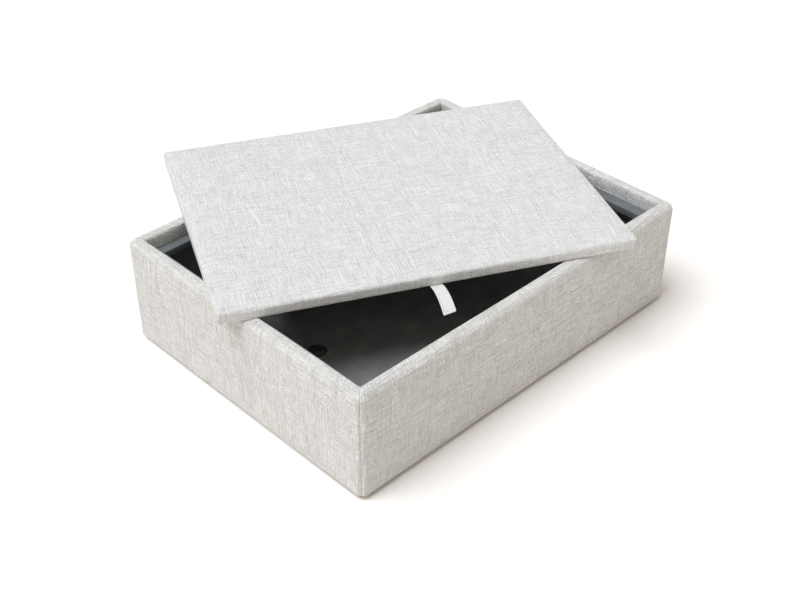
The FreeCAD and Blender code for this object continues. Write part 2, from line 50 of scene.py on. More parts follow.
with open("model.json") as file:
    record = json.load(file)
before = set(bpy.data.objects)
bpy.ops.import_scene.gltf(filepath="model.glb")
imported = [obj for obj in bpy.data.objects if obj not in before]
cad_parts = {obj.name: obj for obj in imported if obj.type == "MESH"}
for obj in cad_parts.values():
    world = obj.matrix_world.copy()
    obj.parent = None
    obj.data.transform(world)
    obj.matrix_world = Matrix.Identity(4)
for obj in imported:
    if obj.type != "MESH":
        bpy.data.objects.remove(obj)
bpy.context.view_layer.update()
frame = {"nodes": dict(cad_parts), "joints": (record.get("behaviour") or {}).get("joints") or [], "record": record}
MM = 0.001
SIDES = ("front", "right", "back", "left")


def corners_of(*names):
    """Lowest and highest corner of several CAD nodes together."""
    boxes = [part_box(name) for name in names]
    low = Vector([min(box[0][axis] for box in boxes) for axis in range(3)])
    high = Vector([max(box[1][axis] for box in boxes) for axis in range(3)])
    return low, high


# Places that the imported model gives: the outer box, the ledge, and the askew lid with its tab.
COVER_LOW, COVER_HIGH = corners_of(*[f"cover_{side}" for side in SIDES])
HALF_LENGTH = (COVER_HIGH.x - COVER_LOW.x) / 2
HALF_WIDTH = (COVER_HIGH.y - COVER_LOW.y) / 2
LEDGE_HIGH = corners_of("ledge_front", "ledge_back")[1]
LID_LOW, LID_HIGH = corners_of("lid_cover")
LID_MIDDLE = (LID_LOW + LID_HIGH) / 2
TAB_HINGE = [joint for joint in frame["joints"] if joint["name"] == "tab_swing"][0]
LID_TURN = math.atan2(-TAB_HINGE["axis"][1], -TAB_HINGE["axis"][0])
LID_AXES = Matrix.Rotation(LID_TURN, 3, "Z")

# Mesh steps. A seam or an edge has fine steps and the middle of a face coarse ones.
ARC_STEPS = 6
HEM_STEP, FACE_STEP, RIM_STEP, LID_HEM_STEP = 6 * MM, 5 * MM, 4 * MM, 8 * MM
SEAM_STEP, MIDDLE_STEP = 2.5 * MM, 9 * MM
LID_EDGE_STEP, LID_MIDDLE_STEP = 3 * MM, 11 * MM
TAB_STEPS = 44
TAB_ACROSS = (-0.5, -0.46, -0.4, -0.2, 0.0, 0.2, 0.4, 0.46, 0.5)

# Cloth under pressure: how long it settles and how hard the padding pushes.
SETTLE_FRAMES = 16
PADDING_PRESSURE = 3.0

# Unevenness of padded cloth as (height, waves in a metre, place in the noise): wide lumps, then small ones.
WALL_LUMPS = ((0.45 * MM, 11, (0, 0, 0)), (0.2 * MM, 34, (7, 3, 1)))
LID_LUMPS = ((0.35 * MM, 9, (0, 0, 0)), (0.15 * MM, 30, (0, 0, 0)))

# Corner seams: the groove, the gathers beside it (with their waves in a metre), and the stitches in it.
SEAM_WIDTH = 1.6 * MM
GATHER_HEIGHT, GATHER_REACH, GATHER_WAVES = 0.5 * MM, 9 * MM, 75
STITCH_LENGTH, STITCH_THICKNESS, STITCH_PROUD = 3.4 * MM, 1 * MM, 0.3 * MM

# Wall covers: what is turned in at the foot, and the gap that the band leaves over the ledge.
WALL_HEM, BAND_GAP = 20 * MM, 0.4 * MM

# Wall pads: how deep they lie in covers' thicknesses, their own gap over the ledge, and their foam.
PAD_DEPTH, PAD_GAP, PAD_FOAM = 1.6, 1 * MM, 3 * MM

# Lid foam: how far inside the cover it stays at the sides and the top, and its eased edges.
FOAM_INSET, FOAM_TOP_GAP, FOAM_EASE = 2.4 * MM, 0.6 * MM, 3.5 * MM

# Eased edges of the ledge rails, the wall felts, the floor felt and the feet.
RAIL_EASE, WALL_FELT_EASE, FLOOR_FELT_EASE, FOOT_EASE = 2.2 * MM, 0.7 * MM, 0.8 * MM, 1.2 * MM

# How far from a seam or an edge the padding reaches its full swell.
CROWN_EASE, LID_CROWN_EASE = 90 * MM, 45 * MM

# Cloth is held down this near to its top and foot, and this far up its inner band.
HELD_NEAR, BAND_HELD = 1 * MM, 8 * MM

# Where in the bolt of cloth each piece is cut, in metres, so that no two show the same run.
WALL_CLOTH_SHIFT, LID_CLOTH_PLACE, TAB_CLOTH_PLACE = 1.3, 5.0, (9.0, 3.0)

# Pull tab: the part under the lid, its gap to the lid's edge, and its stitched border.
TAB_ROOT = 11 * MM
TAB_GAP = 1 * MM
TAB_ROOT_DROP = 0.75 * MM
TAB_EDGE_DROP = 0.35 * MM
TAB_TIP_ROUND, TAB_TIP_TAPER = 3 * MM, 0.1
TAB_STITCHES_START, TAB_STITCHES_SHORT, TAB_STITCHES_TIP = 9 * MM, 12 * MM, 7 * MM
TAB_STITCH_INSET, TAB_STITCH_PITCH = 2.6 * MM, 4 * MM
TAB_STITCH_LIFT = 0.1 * MM
TAB_STITCH_LENGTH, TAB_STITCH_THICKNESS = 2.8 * MM, 0.7 * MM

# Bolt caps: skirt, first step in, dome, then rings as (width, rise): shoulder, groove and raised middle.
CAP_SKIRT, CAP_STEP, CAP_DOME, CAP_TAPER = 3 * MM, 2.2 * MM, 2.6 * MM, 0.86
CAP_RINGS = ((3.4 * MM, 1.5 * MM), (1.4 * MM, -0.9 * MM), (4 * MM, 0.9 * MM))

# Cloths under the box and the lid: how far from the edge their puckers die out, and the lid's margin.
PUCKER_REACH = 25 * MM
BACKING_INSET = 12 * MM


class StorageBoxSizes(bpy.types.PropertyGroup):
    """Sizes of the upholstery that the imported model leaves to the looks."""

    wall: FloatProperty(name="Wall", description="Outer cover to inner band", default=27.5 * MM, unit="LENGTH")
    cloth: FloatProperty(name="Cloth", description="Thickness of the cover cloth", default=1.5 * MM, unit="LENGTH")
    corner_radius: FloatProperty(
        name="Corner radius", description="Upright outer corners", default=15 * MM, unit="LENGTH")
    nook_radius: FloatProperty(
        name="Nook radius", description="Upright inner corners", default=5 * MM, unit="LENGTH")
    rim_radius: FloatProperty(name="Rim radius", description="Outer roll of the rim", default=13 * MM, unit="LENGTH")
    lip_radius: FloatProperty(name="Lip radius", description="Inner roll of the rim", default=6 * MM, unit="LENGTH")
    base_radius: FloatProperty(
        name="Base radius", description="Roll at the foot of the cover", default=8 * MM, unit="LENGTH")
    crown: FloatProperty(
        name="Crown", description="Swell of the padding on a wall", default=1.6 * MM, unit="LENGTH")
    seam_depth: FloatProperty(
        name="Seam depth", description="How far a corner seam pulls in", default=2.2 * MM, unit="LENGTH")
    stitch_pitch: FloatProperty(
        name="Stitch pitch", description="From one stitch to the next", default=5 * MM, unit="LENGTH")
    lid_clearance: FloatProperty(
        name="Lid clearance", description="Lid to the inner band, each side", default=3 * MM, unit="LENGTH")
    lid_corner_radius: FloatProperty(
        name="Lid corner radius", description="Upright corners of the lid", default=7 * MM, unit="LENGTH")
    lid_top_radius: FloatProperty(
        name="Lid top radius", description="Upper edge of the lid", default=6 * MM, unit="LENGTH")
    lid_foot_radius: FloatProperty(
        name="Lid foot radius", description="Lower edge of the lid", default=1.8 * MM, unit="LENGTH")
    lid_crown: FloatProperty(
        name="Lid crown", description="Swell of the lid's foam", default=1.8 * MM, unit="LENGTH")
    lid_swell: FloatProperty(
        name="Lid swell", description="Most that the lid's cover swells as it settles", default=2.2 * MM, unit="LENGTH")
    wall_swell: FloatProperty(
        name="Wall swell", description="Most that a wall's cover swells as it settles", default=1.3 * MM,
        unit="LENGTH")
    hem: FloatProperty(name="Hem", description="Cover turned in under the lid", default=35 * MM, unit="LENGTH")
    tab_width: FloatProperty(name="Tab width", description="Width of the pull tab", default=25 * MM, unit="LENGTH")
    tab_thickness: FloatProperty(
        name="Tab thickness", description="Two layers sewn together", default=1.6 * MM, unit="LENGTH")
    tab_reach: FloatProperty(
        name="Tab reach", description="Tab in front of the lid", default=80 * MM, unit="LENGTH")
    tab_bend_radius: FloatProperty(
        name="Tab bend", description="Radius of the tab's droop", default=95 * MM, unit="LENGTH")
    tab_twist: FloatProperty(
        name="Tab twist", description="One edge above the other at the tip", default=5 * MM, unit="LENGTH")
    tab_rise: FloatProperty(
        name="Tab rise", description="Slope at the tab's root", default=math.radians(16), unit="ROTATION")


class StorageBoxColours(bpy.types.PropertyGroup):
    """Colours of the cloths, linings and fittings, as sRGB hex values."""

    # Wall covers' yarns: set wider apart than the lid's, with a darker, warmer grey, as painted shade. They copy the
    # warmer, more contrasty look of the side faces under grazing light.
    cream_yarn: StringProperty(name="Cream yarn", description="Main yarn of the wall covers", default="ECE9E3")
    grey_yarn: StringProperty(name="Grey yarn", description="Dull yarn of the wall covers", default="D3CDC1")
    # Lid cover's yarns: set closer together and more neutral than the walls', as painted light. They copy the flatter,
    # cooler look of the top under the overhead light, so the lid's cloth is a lit copy of the walls' linen.
    lid_cream_yarn_painted_light: StringProperty(name="Lid cream yarn", description="Main yarn of the lid's cover", default="E2E0DB")
    lid_grey_yarn_painted_light: StringProperty(name="Lid grey yarn", description="Dull yarn of the lid's cover", default="D1CEC8")
    slub_yarn: StringProperty(name="Slub yarn", description="Raised pale yarn of the cover cloth", default="F1EFEB")
    thread: StringProperty(name="Thread", description="Sewing thread", default="D8D2C6")
    felt: StringProperty(name="Felt", description="Needle felt of the linings", default="969591")
    ledge_paint: StringProperty(name="Ledge paint", description="Satin paint on the ledge", default="6C7071")
    black_plastic: StringProperty(name="Black plastic", description="Caps, feet and glides", default="4C4945")
    floor: StringProperty(name="Floor", description="Studio floor", default="FAF5EE")


class StorageBoxStage(bpy.types.PropertyGroup):
    """Camera and light of the studio stage."""

    camera_place: FloatVectorProperty(
        name="Camera place", description="Where the camera stands", default=(-1.5126, -1.5313, 1.6198),
        subtype="TRANSLATION", unit="LENGTH")
    camera_turn: FloatProperty(
        name="Camera turn", description="Compass turn of the camera from +Y", default=math.radians(-44.27),
        unit="ROTATION")
    camera_tilt: FloatProperty(
        name="Camera tilt", description="How far the camera looks down", default=math.radians(36.22),
        unit="ROTATION")
    lens: FloatProperty(name="Lens", description="Focal length in millimetres", default=56.9)
    sky: FloatProperty(name="Sky", description="Strength of the even light", default=0.505)
    key: FloatProperty(name="Key", description="Strength of the key light", default=2.78)
    key_height: FloatProperty(
        name="Key height", description="How high the key light stands", default=math.radians(65), unit="ROTATION")
    key_turn: FloatProperty(
        name="Key turn", description="From -X towards +Y to the key light", default=math.radians(18), unit="ROTATION")
    key_spread: FloatProperty(
        name="Key spread", description="Width of the key light in the sky", default=math.radians(38), unit="ROTATION")
    key_colour: FloatVectorProperty(
        name="Key colour", description="Cool tint of the key light", default=(0.855, 0.913, 1.0), subtype="COLOR")
    sky_colour: FloatVectorProperty(
        name="Sky colour", description="Warm tint of the even light", default=(0.97, 0.932, 0.905), subtype="COLOR")
    floor_width: FloatProperty(
        name="Floor width", description="Side of the studio floor", default=400.0, unit="LENGTH")
    sight: FloatProperty(name="Sight", description="How far the camera sees", default=1000.0, unit="LENGTH")


def sizes():
    """The sizes that the panel's user can change."""
    return bpy.context.scene.storage_box_sizes


def colours():
    """The colours that the panel's user can change."""
    return bpy.context.scene.storage_box_colours


# ---------------------------------------------------------------- materials

def linear(hex_colour):
    """An sRGB hex value as linear red, green, blue and full alpha."""
    channels = [int(hex_colour[index:index + 2], 16) / 255 for index in (0, 2, 4)]
    return [c / 12.92 if c <= 0.04045 else ((c + 0.055) / 1.055) ** 2.4 for c in channels] + [1.0]


def shade(hex_colour, factor):
    """A linear colour made darker or lighter."""
    return [min(1.0, channel * factor) for channel in linear(hex_colour)[:3]] + [1.0]


def add(tree, kind, settings=(), links=()):
    """Add a node, set its properties or sockets, and link its sockets to the first or a named output of others."""
    node = tree.nodes.new(kind)
    for name, setting in dict(settings).items():
        if isinstance(name, str) and hasattr(node, name):
            setattr(node, name, setting)
        else:
            node.inputs[name].default_value = setting
    for name, source in dict(links).items():
        source, output = source if isinstance(source, tuple) else (source, 0)
        tree.links.new(source.outputs[output], node.inputs[name])
    return node


def new_tree(name):
    """A material with an empty node tree."""
    material = bpy.data.materials.new(name)
    material.use_nodes = True
    material.node_tree.nodes.clear()
    return material, material.node_tree


def close_tree(tree, settings, links, height, depth_mm, strength):
    """Finish a material with its shader, and a bump of a real depth from a height."""
    bump = add(tree, "ShaderNodeBump", {"Strength": strength, "Distance": depth_mm * MM}, {"Height": height})
    shader = add(tree, "ShaderNodeBsdfPrincipled", settings, {**links, "Normal": bump})
    add(tree, "ShaderNodeOutputMaterial", links={"Surface": shader})


def spread_over(tree, output, scale):
    """A piece's UVs or own coordinates, multiplied by a scale along each axis."""
    place = add(tree, "ShaderNodeTexCoord")
    return add(tree, "ShaderNodeMapping", {"Scale": scale}, {"Vector": (place, output)})


def yarns(tree, across_mm, along_mm, detail=1.0):
    """Noise over the cloth's own UVs, drawn out like yarns: a width and a length along u and v."""
    spread = spread_over(tree, "UV", (1 / (across_mm * MM), 1 / (along_mm * MM), 1.0))
    return add(tree, "ShaderNodeTexNoise", {"noise_dimensions": "2D", "Scale": 1.0, "Detail": detail},
               {"Vector": spread})


def grain(tree, size_mm, detail=3.0, stretch=(1.0, 1.0, 1.0)):
    """Noise over the piece's own coordinates, with features of a real size, drawn out where stretch is small."""
    spread = spread_over(tree, "Object", [share / (size_mm * MM) for share in stretch])
    return add(tree, "ShaderNodeTexNoise", {"Scale": 1.0, "Detail": detail}, {"Vector": spread})


def woven(name, yarn_mm, slub_mm, slub_depth, yarn_pair, relief_mm):
    """Linen-look polyester, plain woven from uneven yarns: matte, with thin raised slubs running both ways.

    The real yarns are about 0.7 mm apart. They are drawn coarser, because finer ones would not show.
    """
    material, tree = new_tree(name)
    warp, weft = yarns(tree, 1.1 * yarn_mm, 0.35 * slub_mm), yarns(tree, 0.35 * slub_mm, 1.1 * yarn_mm)
    lines = add(tree, "ShaderNodeMath", {"operation": "ADD"}, {0: warp, 1: weft})
    over, under = yarns(tree, yarn_mm, 2.5 * yarn_mm, 0.0), yarns(tree, 2.5 * yarn_mm, yarn_mm, 0.0)
    knots = add(tree, "ShaderNodeMath", {"operation": "ADD"}, {0: over, 1: under})
    knot_share = add(tree, "ShaderNodeMath", {"operation": "MULTIPLY", 1: 0.2}, {0: knots})
    cloth = add(tree, "ShaderNodeMath", {"operation": "MULTIPLY_ADD", 1: 0.3}, {0: lines, 2: knot_share})
    slubs = []
    for across, along in ((1.3 * yarn_mm, slub_mm), (slub_mm, 1.3 * yarn_mm)):
        slubs.append(add(tree, "ShaderNodeMapRange", {"interpolation_type": "SMOOTHSTEP", "From Min": 0.56,
                                                      "From Max": 0.70}, {"Value": yarns(tree, across, along, 1.5)}))
    slub = add(tree, "ShaderNodeMath", {"operation": "MAXIMUM"}, {0: slubs[0], 1: slubs[1]})
    tone = add(tree, "ShaderNodeMath", {"operation": "MULTIPLY_ADD", 1: 0.16}, {0: slub, 2: cloth})
    dull = add(tree, "ShaderNodeMapRange", {"From Min": 0.38, "From Max": 0.52}, {"Value": tone})
    bright = add(tree, "ShaderNodeMapRange", {"From Min": 0.52, "From Max": 0.70}, {"Value": tone})
    # The yarn pair passed in carries painted light: painted shade in the walls' pair, and painted top light in the
    # lid's pair and the tape.
    body = add(tree, "ShaderNodeMix", {"data_type": "RGBA", 6: linear(yarn_pair[0]),
                                       7: linear(yarn_pair[1])}, {0: dull})
    colour = add(tree, "ShaderNodeMix", {"data_type": "RGBA", 7: linear(colours().slub_yarn)},
                 {0: bright, 6: (body, 2)})
    rise, fall = yarns(tree, 1.3 * yarn_mm, 2.6 * yarn_mm, 0.0), yarns(tree, 2.6 * yarn_mm, 1.3 * yarn_mm, 0.0)
    bumps = add(tree, "ShaderNodeMath", {"operation": "ADD"}, {0: rise, 1: fall})
    rough = add(tree, "ShaderNodeMath", {"operation": "MULTIPLY_ADD", 1: 0.1}, {0: bumps, 2: cloth})
    height = add(tree, "ShaderNodeMath", {"operation": "MULTIPLY_ADD", 1: slub_depth}, {0: slub, 2: rough})
    close_tree(tree, {"Roughness": 0.92, "Specular IOR Level": 0.25, "Sheen Weight": 0.1, "Sheen Roughness": 0.5},
               {"Base Color": (colour, 2)}, height, relief_mm, 0.9)
    return material


def two_tone(tree, source, low, high, dark, light):
    """A colour that goes from dark to light as a pattern rises from a low to a high mark."""
    share = add(tree, "ShaderNodeMapRange", {"From Min": low, "From Max": high}, {"Value": source})
    mix = add(tree, "ShaderNodeMix", {"data_type": "RGBA", 6: dark, 7: light}, {0: share})
    return mix, 2


def needle_felt():
    """Needle-punched polyester felt: matte and slightly hairy, with faint mottling.

    Single fibres are a few hundredths of a millimetre. They are drawn as 1.6 mm tufts, so that they show.
    """
    material, tree = new_tree("Charcoal needle felt")
    fibres, mottle = grain(tree, 1.6, 4.0), grain(tree, 45.0, 2.0)
    both = add(tree, "ShaderNodeMath", {"operation": "ADD"}, {0: fibres, 1: mottle})
    colour = two_tone(tree, both, 0.6, 1.4, shade(colours().felt, 0.72), shade(colours().felt, 1.3))
    close_tree(tree, {"Roughness": 0.95, "Specular IOR Level": 0.2, "Sheen Weight": 0.2}, {"Base Color": colour},
               fibres, 0.5, 0.4)
    return material


def satin_paint():
    """Satin acrylic paint brushed on planed pine: an even grey with a soft shine and faint brush lines."""
    material, tree = new_tree("Satin grey paint")
    brush, wear = grain(tree, 2.0, 2.0, (1.0, 1.0, 6.0)), grain(tree, 60.0)
    colour = two_tone(tree, wear, 0.35, 0.6, shade(colours().ledge_paint, 0.85), linear(colours().ledge_paint))
    rough = add(tree, "ShaderNodeMapRange", {"To Min": 0.42, "To Max": 0.6}, {"Value": wear})
    close_tree(tree, {"IOR": 1.5}, {"Base Color": colour, "Roughness": rough}, brush, 0.15, 0.3)
    return material


def timber(name, pale, deep, ring_mm, stretch):
    """Sawn or peeled wood: long grain streaks between a pale and a deep tone, with a low sheen."""
    material, tree = new_tree(name)
    rings, pores = grain(tree, ring_mm, 5.0, stretch), grain(tree, 1.4, 2.0, stretch)
    streaks = add(tree, "ShaderNodeMath", {"operation": "MULTIPLY_ADD", 1: 0.25}, {0: pores, 2: rings})
    colour = two_tone(tree, streaks, 0.5, 0.75, linear(pale), linear(deep))
    close_tree(tree, {"Roughness": 0.62, "Specular IOR Level": 0.35}, {"Base Color": colour}, streaks, 0.25, 0.4)
    return material


def moulded_plastic(name, roughness):
    """Injection-moulded plastic: black, with a fine spark-eroded grain that breaks up its shine.

    The real grain is about 0.2 mm. It is drawn at 0.9 mm, so that it shows.
    """
    material, tree = new_tree(name)
    texture, smudge = grain(tree, 0.9, 2.0), grain(tree, 12.0, 2.0)
    colour = two_tone(tree, smudge, 0.35, 0.7, linear(colours().black_plastic), shade(colours().black_plastic, 1.4))
    rough = add(tree, "ShaderNodeMapRange", {"To Min": roughness, "To Max": roughness + 0.15}, {"Value": smudge})
    close_tree(tree, {"IOR": 1.49}, {"Base Color": colour, "Roughness": rough}, texture, 0.06, 0.3)
    return material


def zinc_plate(name, roughness):
    """Bright zinc on steel: grey metal with a slightly cloudy shine."""
    material, tree = new_tree(name)
    cloud = grain(tree, 3.0)
    colour = two_tone(tree, cloud, 0.3, 0.7, linear("9A9C9E"), linear("C9CBCC"))
    rough = add(tree, "ShaderNodeMapRange", {"To Min": roughness, "To Max": roughness + 0.2}, {"Value": cloud})
    close_tree(tree, {"Metallic": 1.0}, {"Base Color": colour, "Roughness": rough}, cloud, 0.03, 0.2)
    return material


def spunbond_cambric():
    """Spunbond polypropylene cambric: thin black cloth with a grid of tiny bonded dots."""
    material, tree = new_tree("Black spunbond cambric")
    spread = spread_over(tree, "Object", (1 / (3 * MM),) * 3)
    dots = add(tree, "ShaderNodeTexVoronoi", {"Scale": 1.0, "Randomness": 0.15}, {"Vector": spread})
    colour = two_tone(tree, grain(tree, 5.0, 5.0), 0.3, 0.7, linear("222225"), linear("3C3C40"))
    close_tree(tree, {"Roughness": 0.85, "Specular IOR Level": 0.3}, {"Base Color": colour}, dots, 0.3, 0.35)
    return material


def open_cell_foam():
    """Polyurethane foam: pale yellow, with millimetre cells open at the surface."""
    material, tree = new_tree("Polyurethane foam")
    spread = spread_over(tree, "Object", (1 / (1.6 * MM),) * 3)
    cells = add(tree, "ShaderNodeTexVoronoi", {"Scale": 1.0}, {"Vector": spread})
    # The cells' pits are painted darker: painted shade in the open pits of the pale yellow foam.
    colour = two_tone(tree, cells, 0.1, 0.6, linear("D8CB9C"), linear("F1E8C6"))
    close_tree(tree, {"Roughness": 0.95, "Specular IOR Level": 0.2}, {"Base Color": colour}, cells, 0.6, 0.6)
    return material


def sewing_thread():
    """Twisted polyester sewing thread: a soft shine along each short stitch, its twist drawn twice too long."""
    material, tree = new_tree("Polyester thread")
    twist = grain(tree, 1.2, 1.0)
    colour = two_tone(tree, twist, 0.3, 0.7, shade(colours().thread, 0.7), linear(colours().thread))
    close_tree(tree, {"Roughness": 0.6, "Sheen Weight": 0.3}, {"Base Color": colour}, twist, 0.1, 0.3)
    return material


def floor_paint():
    """Matte white emulsion on the studio floor, rolled flat."""
    material, tree = new_tree("Matte white emulsion")
    nap = grain(tree, 4.0)
    colour = two_tone(tree, nap, 0.3, 0.7, shade(colours().floor, 0.985), linear(colours().floor))
    close_tree(tree, {"Roughness": 0.9, "Specular IOR Level": 0.0}, {"Base Color": colour}, nap, 0.05, 0.1)
    return material


MATERIALS = {}


def material_named(name):
    """The finished material of that short name, made the first time it is asked for."""
    # The walls' pair carries painted shade of the side faces.
    wall_yarns_painted_shade = (colours().grey_yarn, colours().cream_yarn)
    # The lid's pair carries the painted top light. It is used for the pull tab's tape too.
    lid_yarns_painted_light = (colours().lid_grey_yarn_painted_light, colours().lid_cream_yarn_painted_light)
    makers = {
        # Walls' linen, with painted side-face shade in its yarns.
        "linen": lambda: woven("Slub linen weave", 1.7, 120.0, 0.3, wall_yarns_painted_shade, 6.0),
        # Lid's linen: a copy with painted top light in its yarns.
        "lid_linen_painted_light": lambda: woven("Slub linen weave with painted top light", 1.7, 120.0, 0.3, lid_yarns_painted_light, 3.5),
        "tape": lambda: woven("Cotton tape", 0.9, 17.0, 0.05, lid_yarns_painted_light, 2.0),
        "felt": needle_felt,
        "paint": satin_paint,
        "plywood": lambda: timber("Birch plywood", "D9B88A", "BF9562", 14.0, (0.08, 0.5, 1.0)),
        "pine": lambda: timber("Sawn pine", "E2C08E", "C39257", 9.0, (0.06, 0.8, 1.0)),
        "cap_plastic": lambda: moulded_plastic("Glossy moulded polypropylene", 0.26),
        "glide_plastic": lambda: moulded_plastic("Moulded nylon", 0.45),
        "zinc": lambda: zinc_plate("Zinc-plated steel", 0.3),
        "staple": lambda: zinc_plate("Galvanised wire", 0.35),
        "cambric": spunbond_cambric,
        "foam": open_cell_foam,
        "thread": sewing_thread,
        "floor": floor_paint,
    }
    if name not in MATERIALS:
        MATERIALS[name] = makers[name]()
    return MATERIALS[name]


# ---------------------------------------------------------------- modelling helpers

def clear_selection():
    """Leave edit mode and select nothing."""
    if bpy.context.object and bpy.context.object.mode != "OBJECT":
        bpy.ops.object.mode_set(mode="OBJECT")
    bpy.ops.object.select_all(action="DESELECT")


def make_active(piece):
    """Select a piece alone and make it the active one."""
    clear_selection()
    piece.select_set(True)
    bpy.context.view_layer.objects.active = piece


def named(name):
    """The piece just made, with its object and its mesh named."""
    piece = bpy.context.object
    piece.name = name
    piece.data.name = name
    return piece


def apply_place(piece):
    """Put a piece's place into its mesh, so that its object sits at the origin."""
    make_active(piece)
    bpy.ops.object.transform_apply(location=True, rotation=True, scale=True)


def apply_modifier(piece, kind, name, **settings):
    """Add a modifier, set it and apply it."""
    make_active(piece)
    bpy.ops.object.modifier_add(type=kind)
    modifier = piece.modifiers[-1]
    modifier.name = name
    for setting, amount in settings.items():
        setattr(modifier, setting, amount)
    bpy.ops.object.modifier_apply(modifier=modifier.name)


def dress(piece, material, slot, body, *nodes):
    """Give a piece its material, body and the CAD nodes that it stands for. The finish slot is not used."""
    piece.data.materials.clear()
    piece.data.materials.append(material_named(material))
    if body:
        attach(piece, body)
    if nodes:
        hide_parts(*nodes)
    return piece


def cloth_grid(name, columns, rows, place, lay):
    """A grid primitive whose every vertex is placed by place(column, row), with UVs in metres from lay."""
    clear_selection()
    bpy.ops.mesh.primitive_grid_add(x_subdivisions=columns, y_subdivisions=rows, size=1.0)
    piece = named(name)
    mesh = piece.data
    spots = [(round((vertex.co.x + 0.5) * columns), round((vertex.co.y + 0.5) * rows))
             for vertex in mesh.vertices]
    for vertex, (column, row) in zip(mesh.vertices, spots):
        vertex.co = place(column, row)
    layer = mesh.uv_layers.active.data
    for loop in mesh.loops:
        layer[loop.index].uv = lay(*spots[loop.vertex_index])
    mesh.update()
    return piece


def smooth(piece, angle=40.0):
    """Shade smooth, but for edges sharper than an angle in degrees."""
    make_active(piece)
    bpy.ops.object.shade_smooth_by_angle(angle=math.radians(angle))


def edge_spacing(length, near, far, growth=1.35):
    """Steps from 0 to 1 over a length, fine at both ends and coarse in the middle."""
    steps = [0.0]
    step = near
    while steps[-1] < length / 2 and step < far:
        steps.append(steps[-1] + step)
        step *= growth
    middle = length - 2 * steps[-1]
    count = max(1, round(middle / far))
    inner = [steps[-1] + middle * index / count for index in range(1, count)]
    mirrored = [length - place for place in reversed(steps)]
    return [place / length for place in steps + inner + mirrored]


def lumps(where, layers):
    """Unevenness of padded cloth at a place, from layers of fixed noise."""
    return sum(height * noise.noise(where * waves + Vector(shift)) for height, waves, shift in layers)


def wall_stations(straight):
    """Places along a wall from corner to corner: half a corner arc, the straight, half a corner arc."""
    stations = [(-1, index / ARC_STEPS) for index in range(ARC_STEPS)]
    stations += [(0, share) for share in edge_spacing(straight, SEAM_STEP, MIDDLE_STEP)]
    stations += [(1, 1 - index / ARC_STEPS) for index in range(1, ARC_STEPS + 1)]
    return stations


def ring_point(half_x, half_y, radius, side, station):
    """A point of a rounded rectangle and its outward direction, on side 0 to 3 from the front."""
    along, across = (half_x, half_y) if side % 2 == 0 else (half_y, half_x)
    zone, share = station
    angle = 0.0 if zone == 0 else math.radians(45) * (1 - share)
    if zone == 0:
        x = (2 * share - 1) * (along - radius)
        y = -across
    else:
        x = zone * (along - radius + radius * math.sin(angle))
        y = -(across - radius + radius * math.cos(angle))
    turn = Matrix.Rotation(math.radians(90 * side), 2)
    outward = Vector((zone * math.sin(angle), -math.cos(angle)))
    return turn @ Vector((x, y)), turn @ outward


def arc_points(centre, radius, start, end, count):
    """Points (inset, height) along an arc of a wall's section, angles in degrees."""
    angles = [math.radians(start + (end - start) * index / count) for index in range(count + 1)]
    return [(centre[0] + radius * math.cos(angle), centre[1] + radius * math.sin(angle)) for angle in angles]


def section_line(start, end, step):
    """Evenly spread points of a section between two points, without the last."""
    length = math.hypot(end[0] - start[0], end[1] - start[1])
    count = max(1, round(length / step))
    return [(start[0] + (end[0] - start[0]) * index / count, start[1] + (end[1] - start[1]) * index / count)
            for index in range(count)]


def wall_section(inset, hem, inner_foot):
    """The cover's section as (inset, height) points: hem, foot roll, outer face, rim, lip and inner band."""
    size = sizes()
    low = COVER_LOW.z + inset
    high = COVER_HIGH.z - inset
    base = size.base_radius - inset
    rim = size.rim_radius - inset
    lip = size.lip_radius - inset
    wall = size.wall - inset
    points = section_line((hem, low), (inset + base, low), HEM_STEP) if hem else []
    points += arc_points((inset + base, low + base), base, 270, 180, 5)[:-1]
    points += section_line((inset, low + base), (inset, high - rim), FACE_STEP)
    points += arc_points((inset + rim, high - rim), rim, 180, 90, 8)[:-1]
    points += section_line((inset + rim, high), (wall - lip, high), RIM_STEP)
    points += arc_points((wall - lip, high - lip), lip, 90, 0, 6)[:-1]
    points += section_line((wall, high - lip), (wall, inner_foot), FACE_STEP)
    points += [(wall, inner_foot)]
    return points


def running_lengths(points):
    """How far along its section each point lies."""
    lengths = [0.0]
    for before, after in zip(points, points[1:]):
        lengths.append(lengths[-1] + math.hypot(after[0] - before[0], after[1] - before[1]))
    return lengths


def section_normals(points):
    """Outward directions (inset, height) along a section that runs up the outer face and over the rim."""
    normals = []
    for index in range(len(points)):
        before = points[max(0, index - 1)]
        after = points[min(len(points) - 1, index + 1)]
        step = Vector((after[0] - before[0], after[1] - before[1])).normalized()
        normals.append((-step.y, step.x))
    return normals


